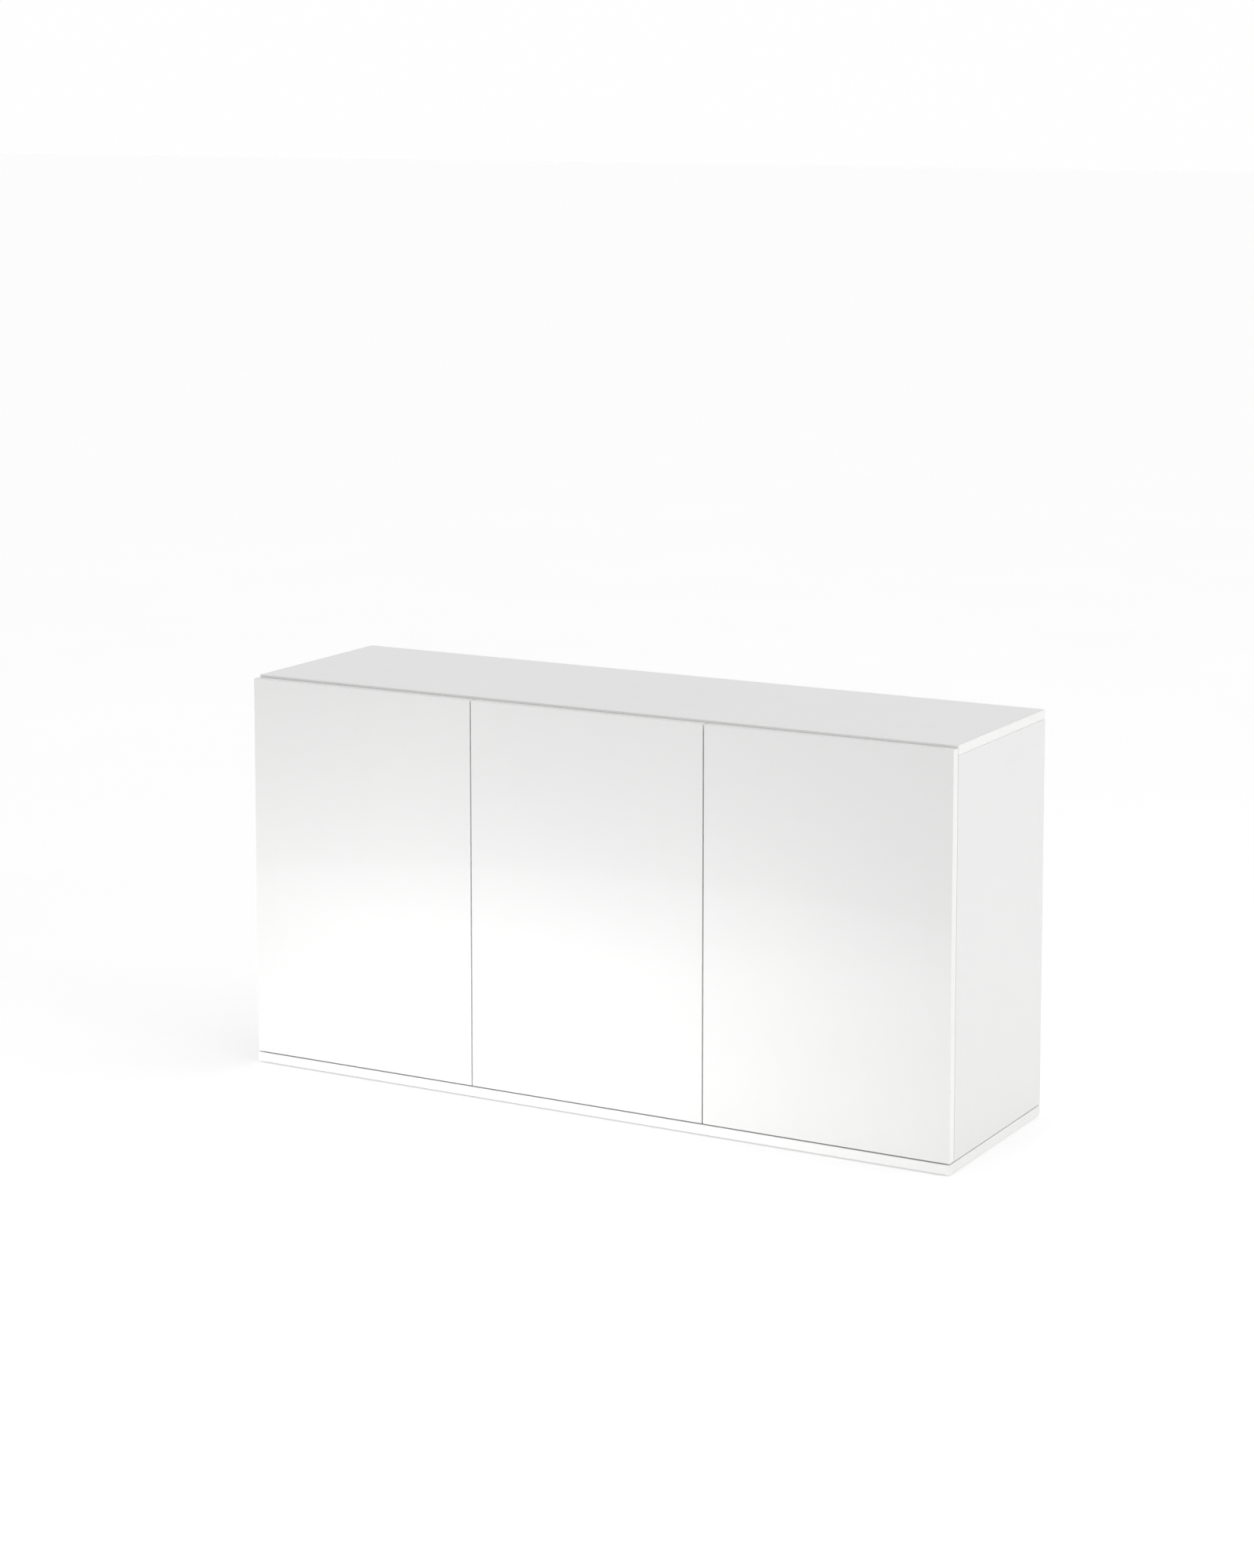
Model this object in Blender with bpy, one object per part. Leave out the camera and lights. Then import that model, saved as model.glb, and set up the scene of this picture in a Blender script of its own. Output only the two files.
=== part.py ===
"""Aquarium stand cabinet: a low white three-door cabinet with concealed hinges and push-to-open latches.

The frame has +Z up, +X to the right and the doors facing -Y. The origin is on the floor, at the
centre of the footprint. Every length is in metres.
"""

from math import cos, pi, radians, sin

import bmesh
import bpy
from mathutils import Matrix, Vector

# Overall size, with the doors and the glides
WIDTH = 1.500
DEPTH = 0.422
HEIGHT = 0.780

# Boards and the gaps between them
BOARD = 0.018
DOOR_T = 0.019
BACK_T = 0.006
GLIDE_H = 0.003
DOOR_BACK_GAP = 0.002
DOOR_SEAM = 0.003
DOOR_TOP_DROP = 0.005
DOOR_BOTTOM_GAP = 0.0025
BACK_INSET = 0.004
FIT = 0.0003
EDGE_EASE = 0.0006

# Planes and edges worked out from them
FRONT = -DEPTH / 2
REAR = DEPTH / 2
DOOR_BACK = FRONT + DOOR_T
CARCASS_FRONT = DOOR_BACK + DOOR_BACK_GAP
BASE_TOP = GLIDE_H + BOARD
TOP_UNDER = HEIGHT - BOARD
BACK_FRONT = REAR - BACK_INSET - BACK_T
DOOR_W = (WIDTH - 2 * DOOR_SEAM) / 3
DOOR_Z = (BASE_TOP + DOOR_BOTTOM_GAP, HEIGHT - DOOR_TOP_DROP)
DIVIDER_X = DOOR_W / 2 + DOOR_SEAM / 2

# Shelves
SHELF_T = 0.016
SHELF_SIDE_GAP = 0.001
SHELF_SETBACK = 0.020
SHELF_Z = 0.392

# Hose and cable cut-outs: each grommet's centre as (x, z)
CUTOUT_R = 0.030
CUTOUT_Z = 0.640
CUTOUT_FROM_DIVIDER = 0.090
CUTOUT_FROM_CENTRE = 0.075
CUTOUTS = {
    "left": (-DIVIDER_X - CUTOUT_FROM_DIVIDER,),
    "middle": (-CUTOUT_FROM_CENTRE, CUTOUT_FROM_CENTRE),
    "right": (DIVIDER_X + CUTOUT_FROM_DIVIDER,),
}
GROMMET_WALL = 0.0035
GROMMET_LIP = 0.005
GROMMET_LIP_T = 0.0019
GROMMET_EASE = 0.0008

# Glides
GLIDE_R = 0.014
GLIDE_EDGE = 0.030

# Concealed hinges. Each hinge has its own frame: x runs in from the door's hinged edge, y runs back
# from the door's back face, and z is up from the hinge's middle.
HINGE_Z = (0.125, 0.675)
CUP_X = 0.0225
BORE_R = 0.0175
BORE_DEPTH = 0.0120
CUP_R = BORE_R - FIT
CUP_WALL = 0.0010
CUP_FLOOR_T = 0.0008
CUP_RIM_Y = 0.0006
CUP_MOUTH_Y = 0.0046
WING_X = (0.0235, 0.0385)
WING_Y = (0.0003, 0.0011)
WING_Z = 0.026
OUTER_ARM_PIVOT = Vector((0.0360, 0.0130))
OUTER_CUP_PIVOT = Vector((0.0131, -0.0050))
OUTER_BENDS = (Vector((0.0198, -0.0065)), Vector((0.0360, -0.0050)))
INNER_ARM_PIVOT = Vector((0.0500, 0.0040))
INNER_CUP_END = Vector((0.0195, -0.0045))
INNER_BEND = Vector((0.0383, 0.0023))
LINK_HALF_T = 0.0011
LINK_EAR_Z = (0.0034, 0.0054)
LINK_WEB_HALF_T = 0.0010
LINK_WEB_OVERLAP = 0.0008
LINK_WEB_START = 0.45
INNER_HALF_Z = 0.0026
PIN_R = 0.0012
PIVOT_R = 0.0019
CUP_PIN_HALF = 0.0122
ARM_PIN_HALF = 0.0057
ARM_EAR_Z = (0.0061, 0.0077)
ARM_BACK_Y = 0.078
ARM_TOP_X = 0.041
ARM_SHOULDER_Y = 0.026
ARM_WEB_T = 0.0016
ARM_WEB_Y = 0.027
ARM_HEEL_Y = 0.030
ARM_NOSE = (Vector((-0.0035, 0.0010)), Vector((-0.0020, -0.0032)))
ARM_CHIN = (Vector((-0.0035, -0.0024)), Vector((0.0016, -0.0024)), Vector((0.0034, 0.0008)))
PLATE_T = 0.0035
PLATE_Y = (0.027, 0.080)
PLATE_HALF_Z = 0.009
PAD_T = 0.0022
PAD_Y = (0.033, 0.047)
PAD_HALF_Z = 0.024

# Push-to-open latches, seen from the hinged edge of each door
LATCH_IN = 0.045
LATCH_SIZE = Vector((0.016, 0.072, 0.014))
LATCH_FRONT_GAP = 0.0010
PLUNGER_R = 0.0035
PLUNGER_FIT = 0.0003
PLUNGER_LENGTH = 0.052
PLUNGER_BORE_DEPTH = 0.062

ROUND_SEGMENTS = 36
MIDDLE_SEGMENTS = 24
SMALL_SEGMENTS = 14
SHARP_ANGLE = radians(35)

# Doors: the side that the hinge is on (+1 where x runs in to the right), the hinged edge's x, and the
# x of the upright's face that the hinge plate is screwed to, in the hinge's own frame
DOORS = {
    "left": (1, -WIDTH / 2, BOARD),
    "middle": (1, -DOOR_W / 2, BOARD / 2 - DOOR_SEAM / 2),
    "right": (-1, WIDTH / 2, BOARD),
}


def clear_scene():
    for obj in list(bpy.data.objects):
        bpy.data.objects.remove(obj)


def make_material(name, colour, roughness, metallic=0.0):
    mat = bpy.data.materials.new(name)
    mat.use_nodes = True
    shader = mat.node_tree.nodes["Principled BSDF"]
    shader.inputs["Base Color"].default_value = (*colour, 1.0)
    shader.inputs["Roughness"].default_value = roughness
    shader.inputs["Metallic"].default_value = metallic
    mat.diffuse_color = (*colour, 1.0)
    return mat


def add_object(name, bm, mat=None, smooth=False):
    """Turn a bmesh into a named object with one material."""
    bmesh.ops.recalc_face_normals(bm, faces=bm.faces)
    mesh = bpy.data.meshes.new(name)
    bm.to_mesh(mesh)
    bm.free()
    if mat:
        mesh.materials.append(mat)
    if smooth:
        mesh.shade_smooth()
        mesh.set_sharp_from_angle(angle=SHARP_ANGLE)
    obj = bpy.data.objects.new(name, mesh)
    bpy.context.scene.collection.objects.link(obj)
    return obj


def box_mesh(low, high):
    bm = bmesh.new()
    size = Vector(high) - Vector(low)
    middle = (Vector(high) + Vector(low)) / 2
    bmesh.ops.create_cube(bm, size=1, matrix=Matrix.Translation(middle) @ Matrix.Diagonal((*size, 1)))
    return bm


def cylinder_mesh(centre, radius, length, axis="Z", segments=SMALL_SEGMENTS):
    turn = {"X": Matrix.Rotation(pi / 2, 4, "Y"), "Y": Matrix.Rotation(pi / 2, 4, "X"), "Z": Matrix()}
    bm = bmesh.new()
    bmesh.ops.create_cone(bm, cap_ends=True, segments=segments, radius1=radius, radius2=radius,
                          depth=length, matrix=Matrix.Translation(Vector(centre)) @ turn[axis])
    return bm


def prism_mesh(outline, z_low, z_high):
    """Extrude a plan outline, a list of 2-D points, upwards."""
    bm = bmesh.new()
    face = bm.faces.new([bm.verts.new((p[0], p[1], z_low)) for p in outline])
    extruded = bmesh.ops.extrude_face_region(bm, geom=[face])["geom"]
    raised = [item for item in extruded if isinstance(item, bmesh.types.BMVert)]
    bmesh.ops.translate(bm, vec=(0, 0, z_high - z_low), verts=raised)
    return bm


def lathe_mesh(profile, segments=ROUND_SEGMENTS):
    """Turn a closed outline of (radius, height) points about the Z axis."""
    bm = bmesh.new()
    rings = []
    for radius, height in profile:
        if radius == 0:
            rings.append([bm.verts.new((0, 0, height))])
            continue
        angles = [2 * pi * i / segments for i in range(segments)]
        rings.append([bm.verts.new((radius * cos(a), radius * sin(a), height)) for a in angles])
    closed = profile[0][0] > 0
    pairs = list(zip(rings, rings[1:])) + ([(rings[-1], rings[0])] if closed else [])
    for lower, upper in pairs:
        for i in range(segments):
            j = (i + 1) % segments
            corners = [ring[k % len(ring)] for ring, k in ((lower, i), (lower, j), (upper, j), (upper, i))]
            bm.faces.new(list(dict.fromkeys(corners)))
    return bm


def bar_outline(points, half_width, arc_steps=5):
    """The plan outline of a bent bar with round ends along the given points."""

    def side(path):
        offsets = []
        for i in range(1, len(path) - 1):
            before = (path[i] - path[i - 1]).normalized()
            after = (path[i + 1] - path[i]).normalized()
            normal = (Vector((before.y, -before.x)) + Vector((after.y, -after.x))).normalized()
            stretch = half_width / normal.dot(Vector((before.y, -before.x)))
            offsets.append(path[i] + normal * stretch)
        return offsets

    def round_end(path):
        along = (path[-1] - path[-2]).normalized()
        right = Vector((along.y, -along.x))
        turns = [pi * i / arc_steps for i in range(arc_steps + 1)]
        return [path[-1] + half_width * (right * cos(t) + along * sin(t)) for t in turns]

    back = list(reversed(points))
    return side(points) + round_end(points) + side(back) + round_end(back)


def combine(obj, tool_mesh, operation):
    """Join a bmesh to an object, or cut it out of the object, and keep the result as its mesh."""
    tool = add_object(obj.name + ".tool", tool_mesh)
    modifier = obj.modifiers.new(operation, "BOOLEAN")
    modifier.operation = operation
    modifier.object = tool
    modifier.solver = "EXACT"
    bpy.context.view_layer.update()
    evaluated = obj.evaluated_get(bpy.context.evaluated_depsgraph_get())
    old_mesh = obj.data
    obj.data = bpy.data.meshes.new_from_object(evaluated)
    obj.data.name = obj.name
    obj.modifiers.clear()
    bpy.data.meshes.remove(old_mesh)
    bpy.data.objects.remove(tool)


def ease_edges(obj, width=EDGE_EASE, segments=1):
    """Break the sharp edges of a board, as its edge banding does."""
    modifier = obj.modifiers.new("eased edges", "BEVEL")
    modifier.width = width
    modifier.segments = segments
    modifier.limit_method = "ANGLE"


def smooth_round_faces(obj):
    obj.data.shade_smooth()
    obj.data.set_sharp_from_angle(angle=SHARP_ANGLE)


def add_board(name, low, high, mat):
    board = add_object(name, box_mesh(low, high), mat)
    ease_edges(board)
    return board


def add_pivot(name, location):
    """An empty on a joint's axis, which the moving pieces are parented to."""
    pivot = bpy.data.objects.new(name, None)
    pivot.location = location
    bpy.context.scene.collection.objects.link(pivot)
    return pivot


def hang_on(obj, pivot):
    """Parent an object to a pivot and keep its place."""
    obj.parent = pivot
    obj.location -= pivot.location


class Hinge:
    """One hinge's frame: it turns the hinge's own coordinates into the cabinet's."""

    def __init__(self, door, z):
        self.side, edge_x, self.face_x = DOORS[door]
        self.origin = Vector((edge_x, DOOR_BACK, z))

    def point(self, plan):
        return self.origin + Vector((self.side * plan[0], plan[1], 0))

    def plan(self, points):
        """Plan points in the cabinet's directions, still measured from the hinge's origin."""
        return [(self.side * p[0], p[1]) for p in points]

    def box(self, x, y, z):
        """A box between ranges of x, y and z in the hinge's frame."""
        ends = sorted((self.side * x[0], self.side * x[1]))
        return box_mesh((ends[0], y[0], z[0]), (ends[1], y[1], z[1]))


def add_cup(hinge, name, mat):
    """The round steel cup pressed into the door, with the two screw wings of its flange."""
    floor_y = CUP_FLOOR_T - BORE_DEPTH + FIT
    profile = ((0, FIT - BORE_DEPTH), (CUP_R, FIT - BORE_DEPTH), (CUP_R, CUP_RIM_Y),
               (CUP_R - CUP_WALL, CUP_RIM_Y), (CUP_R - CUP_WALL, floor_y), (0, floor_y))
    bm = lathe_mesh(profile)
    to_back = Matrix.Translation((hinge.side * CUP_X, 0, 0)) @ Matrix.Rotation(-pi / 2, 4, "X")
    bmesh.ops.transform(bm, matrix=to_back, verts=bm.verts)
    cup = add_object(name, bm, mat)
    combine(cup, hinge.box(WING_X, WING_Y, (-WING_Z, WING_Z)), "UNION")
    centre = (hinge.side * CUP_X, (floor_y + CUP_MOUTH_Y) / 2, 0)
    hollow = cylinder_mesh(centre, CUP_R - CUP_WALL, CUP_MOUTH_Y - floor_y, "Y", ROUND_SEGMENTS)
    combine(cup, hollow, "DIFFERENCE")
    smooth_round_faces(cup)
    cup.location = hinge.origin
    return cup


def add_arm(hinge, name, mat):
    """The fixed arm: two ears that hold the link pivots, a web over them and the mounting plate."""
    low_x = hinge.face_x + PLATE_T - FIT
    outline = (
        *(OUTER_ARM_PIVOT + offset for offset in ARM_NOSE),
        *(INNER_ARM_PIVOT + offset for offset in ARM_CHIN),
        Vector((ARM_TOP_X, ARM_SHOULDER_Y)),
        Vector((ARM_TOP_X, ARM_BACK_Y)),
        Vector((low_x, ARM_BACK_Y)),
        Vector((low_x, ARM_HEEL_Y)),
    )
    half_z = ARM_EAR_Z[1]
    arm = add_object(name, prism_mesh(hinge.plan(outline), *ARM_EAR_Z), mat)
    web = hinge.box((ARM_TOP_X - ARM_WEB_T, ARM_TOP_X), (ARM_WEB_Y, ARM_BACK_Y), (-half_z, half_z))
    combine(arm, web, "UNION")
    combine(arm, prism_mesh(hinge.plan(outline), -half_z, -ARM_EAR_Z[0]), "UNION")
    plate_x = (hinge.face_x + FIT, hinge.face_x + PLATE_T)
    combine(arm, hinge.box(plate_x, PLATE_Y, (-PLATE_HALF_Z, PLATE_HALF_Z)), "UNION")
    pad_x = (hinge.face_x + FIT, hinge.face_x + PAD_T)
    combine(arm, hinge.box(pad_x, PAD_Y, (-PAD_HALF_Z, PAD_HALF_Z)), "UNION")
    arm.location = hinge.origin
    return arm


def add_outer_link(hinge, name, mat):
    """The bent outer link: two ears round the inner link, joined by a web and by both pins."""
    path = (OUTER_CUP_PIVOT, *OUTER_BENDS, OUTER_ARM_PIVOT)
    ear = hinge.plan(bar_outline(path, LINK_HALF_T))
    link = add_object(name, prism_mesh(ear, *LINK_EAR_Z), mat)
    web_start = OUTER_ARM_PIVOT.lerp(OUTER_BENDS[1], LINK_WEB_START)
    web = hinge.plan(bar_outline((web_start, OUTER_ARM_PIVOT), LINK_WEB_HALF_T))
    web_half_z = LINK_EAR_Z[0] + LINK_WEB_OVERLAP
    combine(link, prism_mesh(web, -web_half_z, web_half_z), "UNION")
    combine(link, prism_mesh(ear, -LINK_EAR_Z[1], -LINK_EAR_Z[0]), "UNION")
    pins = ((OUTER_CUP_PIVOT, PIN_R, CUP_PIN_HALF), (OUTER_ARM_PIVOT, PIVOT_R, ARM_PIN_HALF))
    for plan, radius, half_length in pins:
        centre = (hinge.side * plan.x, plan.y, 0)
        combine(link, cylinder_mesh(centre, radius, 2 * half_length), "UNION")
    smooth_round_faces(link)
    link.location = hinge.origin
    return link


def add_inner_link(hinge, name, mat):
    """The narrow inner link between the outer link's ears, with its pin in the arm."""
    path = (INNER_CUP_END, INNER_BEND, INNER_ARM_PIVOT)
    bar = hinge.plan(bar_outline(path, LINK_HALF_T))
    link = add_object(name, prism_mesh(bar, -INNER_HALF_Z, INNER_HALF_Z), mat)
    centre = (hinge.side * INNER_ARM_PIVOT.x, INNER_ARM_PIVOT.y, 0)
    combine(link, cylinder_mesh(centre, PIVOT_R, 2 * ARM_PIN_HALF), "UNION")
    smooth_round_faces(link)
    link.location = hinge.origin
    return link


def add_door(door, mat):
    """A plain slab door with the cup bores in its back face."""
    side, edge_x, _ = DOORS[door]
    low = (min(edge_x, edge_x + side * DOOR_W), FRONT, DOOR_Z[0])
    high = (low[0] + DOOR_W, DOOR_BACK, DOOR_Z[1])
    slab = add_board("door_" + door, low, high, mat)
    for z in HINGE_Z:
        centre = (edge_x + side * CUP_X, DOOR_BACK, z)
        combine(slab, cylinder_mesh(centre, BORE_R, 2 * BORE_DEPTH, "Y", ROUND_SEGMENTS), "DIFFERENCE")
    return slab


def add_latch(door, housing_mat, plunger_mat):
    """A push-to-open latch under the top panel, near the door's free edge."""
    side, edge_x, _ = DOORS[door]
    x = edge_x + side * (DOOR_W - LATCH_IN)
    front_y = CARCASS_FRONT + LATCH_FRONT_GAP
    low = Vector((x - LATCH_SIZE.x / 2, front_y, TOP_UNDER - FIT - LATCH_SIZE.z))
    centre_z = low.z + LATCH_SIZE.z / 2
    housing = add_object("latch_housing_" + door, box_mesh(low, low + LATCH_SIZE), housing_mat)
    bore_mid = front_y + PLUNGER_BORE_DEPTH / 2 - FIT
    bore_r = PLUNGER_R + PLUNGER_FIT
    bore = cylinder_mesh((x, bore_mid, centre_z), bore_r, PLUNGER_BORE_DEPTH, "Y", MIDDLE_SEGMENTS)
    combine(housing, bore, "DIFFERENCE")
    smooth_round_faces(housing)
    tip_y = DOOR_BACK + FIT
    rod = cylinder_mesh((0, PLUNGER_LENGTH / 2, 0), PLUNGER_R, PLUNGER_LENGTH, "Y", MIDDLE_SEGMENTS)
    plunger = add_object("latch_plunger_" + door, rod, plunger_mat, smooth=True)
    plunger.location = (x, tip_y, centre_z)


def add_moving_set(door, mats):
    """A door with its hinges, each moving body on an empty that stands on its joint's axis."""
    first = Hinge(door, 0.0)
    door_axis = add_pivot("axis_door_" + door, first.point(OUTER_CUP_PIVOT))
    outer_axis = add_pivot("axis_outer_links_" + door, first.point(OUTER_ARM_PIVOT))
    inner_axis = add_pivot("axis_inner_links_" + door, first.point(INNER_ARM_PIVOT))
    hang_on(add_door(door, mats["lacquer"]), door_axis)
    for level, z in zip(("lower", "upper"), HINGE_Z):
        hinge = Hinge(door, z)
        tag = door + "_" + level
        add_arm(hinge, "hinge_arm_" + tag, mats["hinge_steel"])
        hang_on(add_cup(hinge, "hinge_cup_" + tag, mats["hinge_steel"]), door_axis)
        hang_on(add_outer_link(hinge, "hinge_outer_link_" + tag, mats["hinge_steel"]), outer_axis)
        hang_on(add_inner_link(hinge, "hinge_inner_link_" + tag, mats["hinge_steel"]), inner_axis)
    add_latch(door, mats["latch_plastic"], mats["plunger_plastic"])


def add_carcass(mats):
    """The boards that don't move."""
    white = mats["lacquer"]
    half = WIDTH / 2
    add_board("bottom_panel", (-half, FRONT, GLIDE_H), (half, REAR, BASE_TOP), white)
    add_board("top_panel", (-half, CARCASS_FRONT, TOP_UNDER), (half, REAR, HEIGHT), white)
    uprights = {
        "side_panel_left": -half + BOARD / 2,
        "divider_left": -DIVIDER_X,
        "divider_right": DIVIDER_X,
        "side_panel_right": half - BOARD / 2,
    }
    for name, x in uprights.items():
        low = (x - BOARD / 2, CARCASS_FRONT, BASE_TOP + FIT)
        high = (x + BOARD / 2, REAR, TOP_UNDER - FIT)
        add_board(name, low, high, white)
    return list(uprights.values())


def add_back_panel(bay, low_x, high_x, mats):
    """A thin back panel with a round cut-out and a grommet for each hose or cable."""
    low = (low_x + FIT, BACK_FRONT, BASE_TOP + FIT)
    high = (high_x - FIT, BACK_FRONT + BACK_T, TOP_UNDER - FIT)
    panel = add_object("back_panel_" + bay, box_mesh(low, high), mats["back_board"])
    for number, x in enumerate(CUTOUTS[bay], start=1):
        centre = (x, BACK_FRONT + BACK_T / 2, CUTOUT_Z)
        combine(panel, cylinder_mesh(centre, CUTOUT_R, 2 * BACK_T, "Y", ROUND_SEGMENTS), "DIFFERENCE")
        add_grommet(f"grommet_{bay}_{number}", x, mats["grommet_plastic"])


def add_grommet(name, x, mat):
    """A flanged sleeve that lines a cut-out, with its lip on the panel's inner face."""
    outer = CUTOUT_R - FIT
    inner = outer - GROMMET_WALL
    lip = CUTOUT_R + GROMMET_LIP
    lip_back = -FIT
    lip_front = lip_back - GROMMET_LIP_T
    profile = ((inner, lip_front), (lip - GROMMET_EASE, lip_front), (lip, lip_front + GROMMET_EASE),
               (lip, lip_back), (outer, lip_back), (outer, BACK_T), (inner, BACK_T))
    bm = lathe_mesh(profile)
    bmesh.ops.rotate(bm, matrix=Matrix.Rotation(-pi / 2, 3, "X"), verts=bm.verts)
    grommet = add_object(name, bm, mat, smooth=True)
    grommet.location = (x, BACK_FRONT, CUTOUT_Z)


def add_shelf(bay, low_x, high_x, mat):
    low = (low_x + SHELF_SIDE_GAP, CARCASS_FRONT + SHELF_SETBACK, SHELF_Z)
    high = (high_x - SHELF_SIDE_GAP, BACK_FRONT - SHELF_SIDE_GAP, SHELF_Z + SHELF_T)
    add_board("shelf_" + bay, low, high, mat)


def add_glides(upright_x, mat):
    """Flat round glides under the two ends of each upright."""
    half = WIDTH / 2
    for column, x in enumerate(upright_x, start=1):
        x = max(-half + GLIDE_EDGE, min(half - GLIDE_EDGE, x))
        for row, y in (("front", FRONT + GLIDE_EDGE), ("rear", REAR - GLIDE_EDGE)):
            height = GLIDE_H - FIT
            mesh = cylinder_mesh((0, 0, height / 2), GLIDE_R, height, "Z", MIDDLE_SEGMENTS)
            glide = add_object(f"glide_{row}_{column}", mesh, mat, smooth=True)
            glide.location = (x, y, 0)


def build():
    clear_scene()
    mats = {
        "lacquer": make_material("white_lacquer", (0.86, 0.86, 0.85), 0.18),
        "back_board": make_material("back_board", (0.80, 0.80, 0.79), 0.45),
        "hinge_steel": make_material("nickel_plated_steel", (0.60, 0.60, 0.58), 0.30, 1.0),
        "latch_plastic": make_material("latch_plastic", (0.62, 0.63, 0.64), 0.45),
        "plunger_plastic": make_material("plunger_plastic", (0.42, 0.43, 0.44), 0.40),
        "grommet_plastic": make_material("grommet_plastic", (0.55, 0.56, 0.56), 0.50),
        "glide_plastic": make_material("glide_plastic", (0.10, 0.10, 0.10), 0.55),
    }
    upright_x = add_carcass(mats)
    for bay, left, right in zip(("left", "middle", "right"), upright_x, upright_x[1:]):
        low_x = left + BOARD / 2
        high_x = right - BOARD / 2
        add_back_panel(bay, low_x, high_x, mats)
        if bay != "middle":
            add_shelf(bay, low_x, high_x, mats["lacquer"])
    for door in DOORS:
        add_moving_set(door, mats)
    add_glides(upright_x, mats["glide_plastic"])


build()
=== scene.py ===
"""The looks of the aquarium stand cabinet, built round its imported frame."""

from math import cos, pi, radians, sin

import bmesh
import bpy
from mathutils import Matrix, Vector


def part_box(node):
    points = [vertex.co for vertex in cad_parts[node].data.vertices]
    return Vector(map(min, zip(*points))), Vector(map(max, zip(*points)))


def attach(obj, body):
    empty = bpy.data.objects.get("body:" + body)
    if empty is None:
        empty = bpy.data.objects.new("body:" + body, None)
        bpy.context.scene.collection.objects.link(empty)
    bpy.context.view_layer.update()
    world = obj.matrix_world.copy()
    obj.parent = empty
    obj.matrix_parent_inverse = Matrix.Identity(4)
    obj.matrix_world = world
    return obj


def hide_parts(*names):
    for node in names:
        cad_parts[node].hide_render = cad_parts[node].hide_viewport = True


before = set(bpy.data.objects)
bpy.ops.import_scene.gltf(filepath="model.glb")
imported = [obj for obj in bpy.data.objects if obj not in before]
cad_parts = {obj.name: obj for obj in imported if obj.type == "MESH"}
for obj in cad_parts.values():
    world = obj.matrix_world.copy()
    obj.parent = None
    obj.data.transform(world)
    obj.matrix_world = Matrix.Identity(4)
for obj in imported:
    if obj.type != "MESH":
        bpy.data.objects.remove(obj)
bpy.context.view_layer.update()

DOORS = ("left", "middle", "right")
LEVELS = ("lower", "upper")
X, Y, Z = range(3)

# Shading: edges are smooth up to an angle in degrees, but a face with a greater mean width is flat
SMOOTH_ANGLE = 35
FLAT_WIDTH = 0.004
# The cosine past which a face looks straight along an axis
STRAIGHT = 0.999

# Boards; the slot keeps the foot of an upright off the bottom panel, so that their joint shows as a line
BOARD_EDGE_R = 0.0007
BACK_EDGE_R = 0.0003
FOOT_SLOT = 0.0014
BORE_FIT = 0.0003
CUTTER_OVERRUN = 0.002
GROMMET_LIP = 0.005
BACK_CUTTER = 0.02

# Shelf pins and the rows of holes that they plug into
PIN_HOLE_R = 0.0025
PIN_HOLE_DEPTH = 0.010
PIN_PITCH = 0.032
PIN_ROWS = 9
PIN_SETBACK = 0.055
PIN_DROP = 0.0025

# Caps over the cam locks
CAP_SETBACK = 0.095
CAP_FROM_END = 0.034

# Screw heads: radius and height of each kind, the depth that they are let in, the rim's share of the height,
# the recess's shares of the radius, and how far each one is turned from the last
WOOD_SCREW = (0.0036, 0.0014)
SET_SCREW = (0.0029, 0.0010)
LATCH_SCREW = (0.0030, 0.0012)
BACK_SCREW = (0.0034, 0.0012)
HEAD_SEAT = 0.0006
HEAD_RIM = 0.35
DOME_ANGLES = (25, 45, 65, 80)
RECESS_WIDTH = 0.26
RECESS_REACH = 0.62
SCREW_TURN = 0.7
BACK_SCREW_TURN = 0.5

# Hinge screws and arm covers, counted from the hinge's own boxes and the door's hinged edge
CUP_SCREW_FROM_END = 0.0058
CUP_SCREW_IN = 0.0085
CUP_SCREW_LIFT = 0.0001
PLATE_SCREW_X = 0.0021
PLATE_SCREW_Y = 0.0385
PLATE_SCREW_Z = 0.0165
ARM_SCREWS_IN = {"a": 0.012, "b": 0.034}
ARM_TOP = 0.041
COVER_X = (0.0001, 0.0011)
COVER_START = 0.027
COVER_END = 0.001
COVER_HALF_Z = 0.0071
COVER_EDGE_R = 0.00045

# Latches
LATCH_EDGE_R = 0.0016
EAR_REACH = 0.010
EAR_Y = (0.022, 0.036)
EAR_T = 0.0022
EAR_EDGE_R = 0.0009
EAR_SCREW_OUT = 0.0055
EAR_SCREW_SPINS = {"a": 0.6, "b": 1.4}
PLUNGER_BORE_DEPTH = 0.062
PLUNGER_HEAD = 0.0036

# Screws along the back panels' upright edges
BACK_SCREW_IN = 0.012
BACK_SCREW_FROM_END = 0.03
BACK_SCREW_ROWS = 5

# Turned outlines, as (radius, height) points
PIN_PROFILE = (
    (0, -0.008), (0.0023, -0.008), (0.0023, 0), (0.0045, 0), (0.0045, 0.0012), (0.0024, 0.0014),
    (0.0024, 0.0071), (0.0020, 0.0075), (0, 0.0075),
)
CAP_PROFILE = ((0, 0), (0.0090, 0), (0.0090, 0.0005), (0.0084, 0.0010), (0.0070, 0.00125), (0, 0.0014))
COLLAR_PROFILE = ((0, -0.002), (0.0058, -0.002), (0.0058, 0.0005), (0.0054, 0.0008), (0, 0.0008))
STRIKE_PROFILE = ((0, -0.0004), (0.0080, -0.0004), (0.0080, 0.0001), (0.0078, 0.0002), (0, 0.0002))

# Photograph's view
SENSOR_MM = 36
LENS_MM = 79.8
SHIFT_Y = -0.2
CAMERA_PLACE = (3.174, -5.757, 1.963)
CAMERA_YAW = 29.07
CAMERA_PITCH = 6.55
VIEW_REACH = 200

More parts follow.
